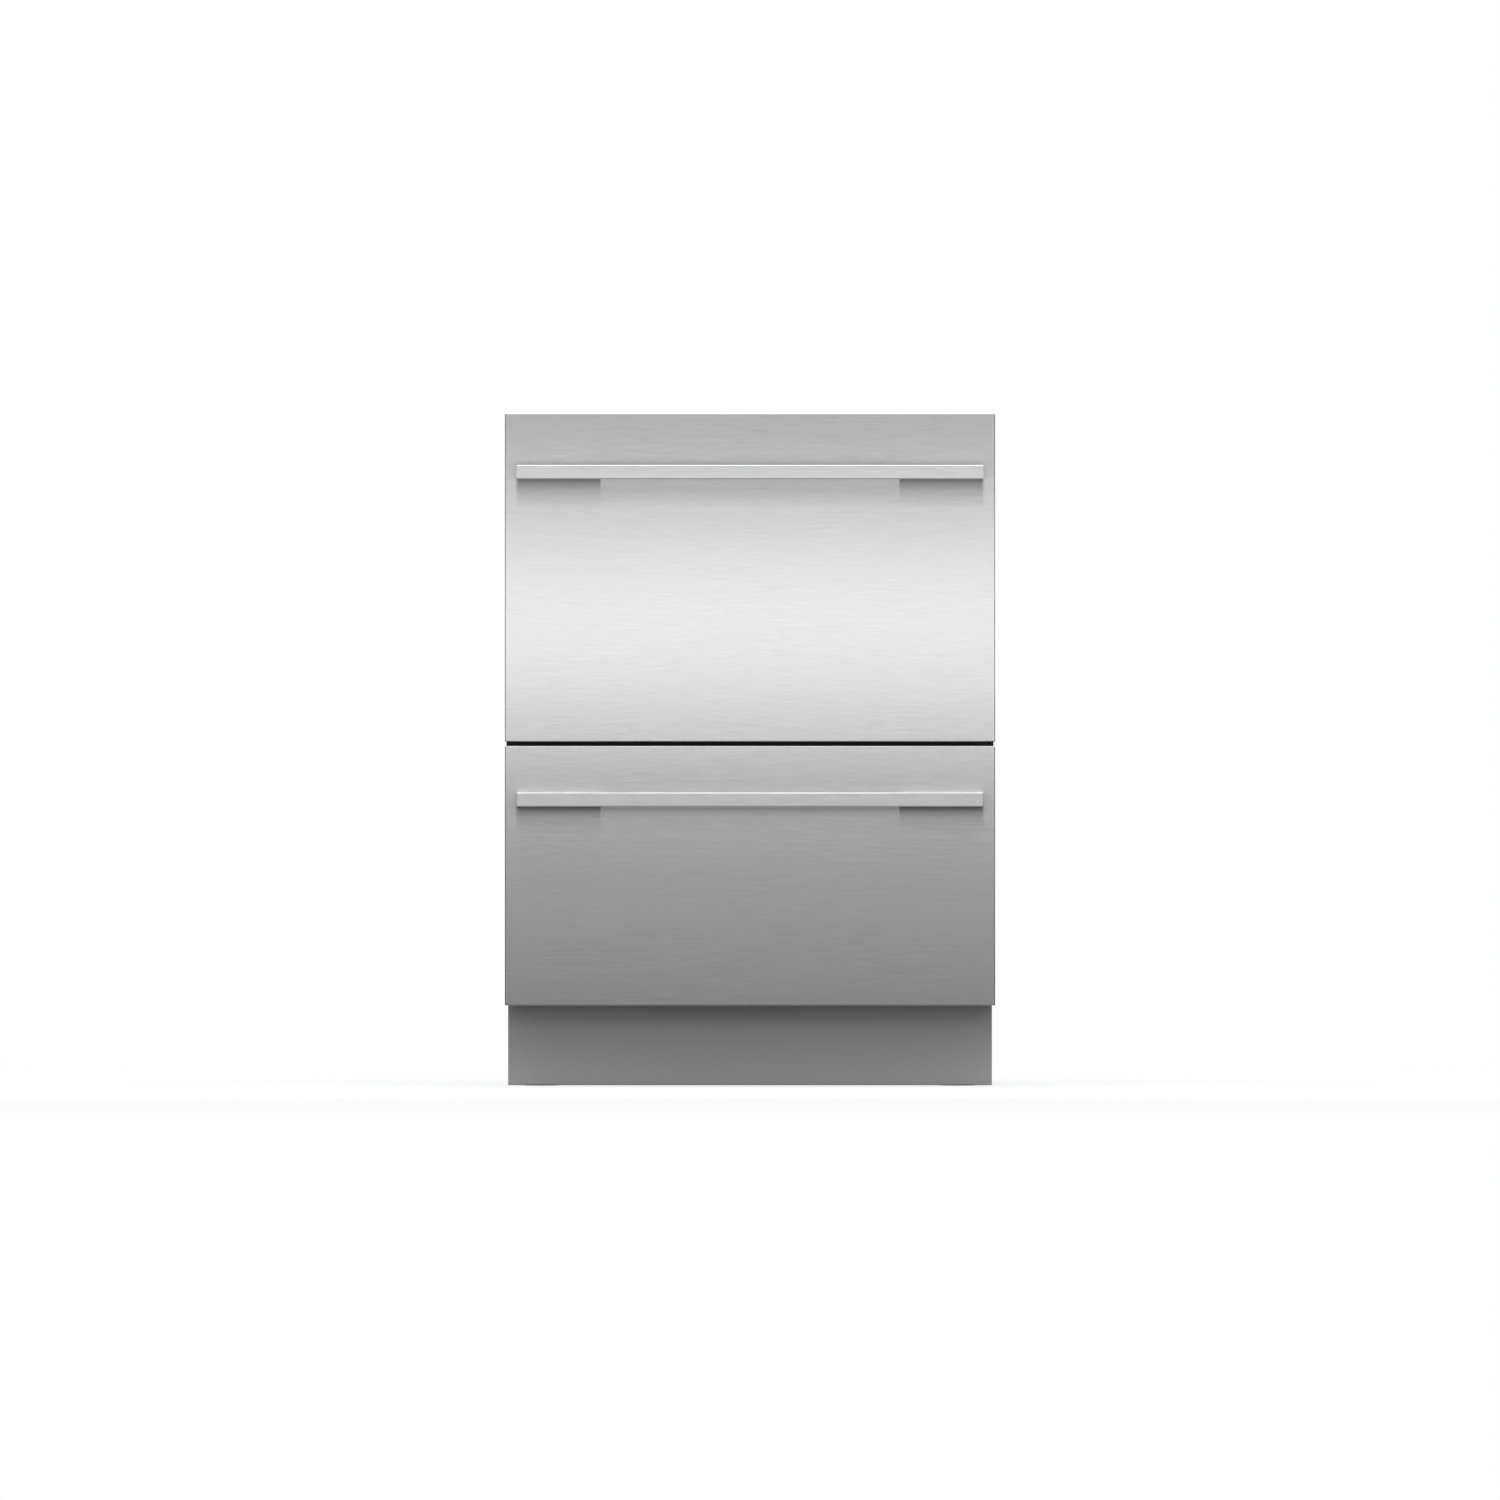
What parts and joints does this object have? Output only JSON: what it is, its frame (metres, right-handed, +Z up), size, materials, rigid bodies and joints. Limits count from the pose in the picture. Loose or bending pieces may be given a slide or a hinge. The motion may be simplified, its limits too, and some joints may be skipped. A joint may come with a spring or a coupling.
{
  "type": "double-drawer dishwasher",
  "caption": "Built-in dishwasher with wash drawers stacked one above the other, brushed steel fronts, square bar handles and a recessed toe kick.",
  "frame": {"origin": "centre of the overall box on the floor", "axes": "+Z up, -Y towards the person in front, +X to that person's right"},
  "size_m": [0.599, 0.6134, 0.822],
  "materials": {
    "brushed_steel": "brushed stainless steel, grain left to right",
    "galvanised_steel": "galvanised sheet steel",
    "runner_steel": "bright zinc-plated steel",
    "tub_plastic": "moulded tub plastic, satin",
    "lid_plastic": "matte moulded plastic",
    "black_rubber": "black rubber",
    "coated_wire": "steel wire with a smooth light grey coat",
    "toe_kick_paint": "satin grey paint",
    "white_plastic": "matte",
    "grey_plastic": "matte mid grey",
    "black_plastic": "fine matte"
  },
  "bodies": {
    "cabinet": {"base_tray": "galvanised_steel", "side_panel_left": "galvanised_steel", "side_panel_right": "galvanised_steel", "rear_panel": "galvanised_steel", "top_panel": "galvanised_steel", "mid_rail": "black_plastic", "toe_kick": "toe_kick_paint", "edge_seal": "black_rubber", "inlet_valve": "white_plastic", "cable_gland": "black_plastic", "upper_runner_outer_left": "runner_steel", "upper_runner_outer_right": "runner_steel", "upper_lid_lifter_left": "black_plastic", "upper_lid_lifter_right": "black_plastic", "lower_runner_outer_left": "runner_steel", "lower_runner_outer_right": "runner_steel", "lower_lid_lifter_left": "black_plastic", "lower_lid_lifter_right": "black_plastic"},
    "upper_drawer": {"upper_front_panel": "brushed_steel", "upper_handle": "brushed_steel", "upper_inner_front": "black_plastic", "upper_tub": "tub_plastic", "upper_dispenser": "grey_plastic", "upper_wash_motor": "black_plastic", "upper_filter_plate": "grey_plastic", "upper_basket": "coated_wire", "upper_cutlery_basket": "grey_plastic", "upper_runner_inner_left": "runner_steel", "upper_runner_inner_right": "runner_steel"},
    "upper_runner_middles": {"upper_runner_middle_left": "runner_steel", "upper_runner_middle_right": "runner_steel"},
    "upper_lid_assembly": {"upper_lid": "lid_plastic"},
    "upper_spray_arm_body": {"upper_spray_arm": "grey_plastic"},
    "upper_cup_rack_body": {"upper_cup_rack": "coated_wire"},
    "upper_dispenser_door_body": {"upper_dispenser_door": "grey_plastic"},
    "upper_power_button_body": {"upper_power_button": "grey_plastic"},
    "upper_start_button_body": {"upper_start_button": "grey_plastic"},
    "lower_drawer": {"lower_front_panel": "brushed_steel", "lower_handle": "brushed_steel", "lower_inner_front": "black_plastic", "lower_tub": "tub_plastic", "lower_dispenser": "grey_plastic", "lower_wash_motor": "black_plastic", "lower_filter_plate": "grey_plastic", "lower_basket": "coated_wire", "lower_cutlery_basket": "grey_plastic", "lower_runner_inner_left": "runner_steel", "lower_runner_inner_right": "runner_steel"},
    "lower_runner_middles": {"lower_runner_middle_left": "runner_steel", "lower_runner_middle_right": "runner_steel"},
    "lower_lid_assembly": {"lower_lid": "lid_plastic"},
    "lower_spray_arm_body": {"lower_spray_arm": "grey_plastic"},
    "lower_cup_rack_body": {"lower_cup_rack": "coated_wire"},
    "lower_dispenser_door_body": {"lower_dispenser_door": "grey_plastic"},
    "lower_power_button_body": {"lower_power_button": "grey_plastic"},
    "lower_start_button_body": {"lower_start_button": "grey_plastic"},
    "foot_front_left_body": {"foot_front_left": "black_plastic"},
    "foot_front_right_body": {"foot_front_right": "black_plastic"},
    "foot_rear_left_body": {"foot_rear_left": "black_plastic"},
    "foot_rear_right_body": {"foot_rear_right": "black_plastic"}
  },
  "joints": [
    {"name": "upper_drawer_slide", "type": "slide", "parent": "cabinet", "child": "upper_drawer", "axis": [0, -1, 0], "range_m": [0, 0.5]},
    {"name": "upper_runner_middle_slide", "type": "slide", "parent": "cabinet", "child": "upper_runner_middles", "axis": [0, -1, 0], "range_m": [0, 0.25]},
    {"name": "upper_lid_lower", "type": "slide", "parent": "cabinet", "child": "upper_lid_assembly", "axis": [0, 0, -1], "range_m": [0, 0.008]},
    {"name": "upper_spray_arm_spin", "type": "hinge", "parent": "upper_drawer", "child": "upper_spray_arm_body", "pos_m": [0, 0.03025, 0.481], "axis": [0, 0, 1], "continuous": true},
    {"name": "upper_cup_rack_fold", "type": "hinge", "parent": "upper_drawer", "child": "upper_cup_rack_body", "pos_m": [-0.227, 0.03025, 0.607], "axis": [0, -1, 0], "range_deg": [0, 80]},
    {"name": "upper_dispenser_door_hinge", "type": "hinge", "parent": "upper_drawer", "child": "upper_dispenser_door_body", "pos_m": [0.12, -0.19995, 0.569], "axis": [-1, 0, 0], "range_deg": [0, 90]},
    {"name": "upper_power_button_press", "type": "slide", "parent": "upper_drawer", "child": "upper_power_button_body", "axis": [0, 0, -1], "range_m": [0, 0.001], "stiffness_N_per_m": 1500, "springref_m": -0.0008},
    {"name": "upper_start_button_press", "type": "slide", "parent": "upper_drawer", "child": "upper_start_button_body", "axis": [0, 0, -1], "range_m": [0, 0.001], "stiffness_N_per_m": 1500, "springref_m": -0.0008},
    {"name": "lower_drawer_slide", "type": "slide", "parent": "cabinet", "child": "lower_drawer", "axis": [0, -1, 0], "range_m": [0, 0.5]},
    {"name": "lower_runner_middle_slide", "type": "slide", "parent": "cabinet", "child": "lower_runner_middles", "axis": [0, -1, 0], "range_m": [0, 0.25]},
    {"name": "lower_lid_lower", "type": "slide", "parent": "cabinet", "child": "lower_lid_assembly", "axis": [0, 0, -1], "range_m": [0, 0.008]},
    {"name": "lower_spray_arm_spin", "type": "hinge", "parent": "lower_drawer", "child": "lower_spray_arm_body", "pos_m": [0, 0.03025, 0.159], "axis": [0, 0, 1], "continuous": true},
    {"name": "lower_cup_rack_fold", "type": "hinge", "parent": "lower_drawer", "child": "lower_cup_rack_body", "pos_m": [-0.227, 0.03025, 0.285], "axis": [0, -1, 0], "range_deg": [0, 80]},
    {"name": "lower_dispenser_door_hinge", "type": "hinge", "parent": "lower_drawer", "child": "lower_dispenser_door_body", "pos_m": [0.12, -0.19995, 0.247], "axis": [-1, 0, 0], "range_deg": [0, 90]},
    {"name": "lower_power_button_press", "type": "slide", "parent": "lower_drawer", "child": "lower_power_button_body", "axis": [0, 0, -1], "range_m": [0, 0.001], "stiffness_N_per_m": 1500, "springref_m": -0.0008},
    {"name": "lower_start_button_press", "type": "slide", "parent": "lower_drawer", "child": "lower_start_button_body", "axis": [0, 0, -1], "range_m": [0, 0.001], "stiffness_N_per_m": 1500, "springref_m": -0.0008},
    {"name": "foot_front_left_adjust", "type": "slide", "parent": "cabinet", "child": "foot_front_left_body", "axis": [0, 0, -1], "range_m": [0, 0.06]},
    {"name": "foot_front_right_adjust", "type": "slide", "parent": "cabinet", "child": "foot_front_right_body", "axis": [0, 0, -1], "range_m": [0, 0.06]},
    {"name": "foot_rear_left_adjust", "type": "slide", "parent": "cabinet", "child": "foot_rear_left_body", "axis": [0, 0, -1], "range_m": [0, 0.06]},
    {"name": "foot_rear_right_adjust", "type": "slide", "parent": "cabinet", "child": "foot_rear_right_body", "axis": [0, 0, -1], "range_m": [0, 0.06]}
  ],
  "couplings": [
    {"joint": "upper_runner_middle_slide", "follows": "upper_drawer_slide", "ratio": 0.5},
    {"joint": "lower_runner_middle_slide", "follows": "lower_drawer_slide", "ratio": 0.5}
  ]
}
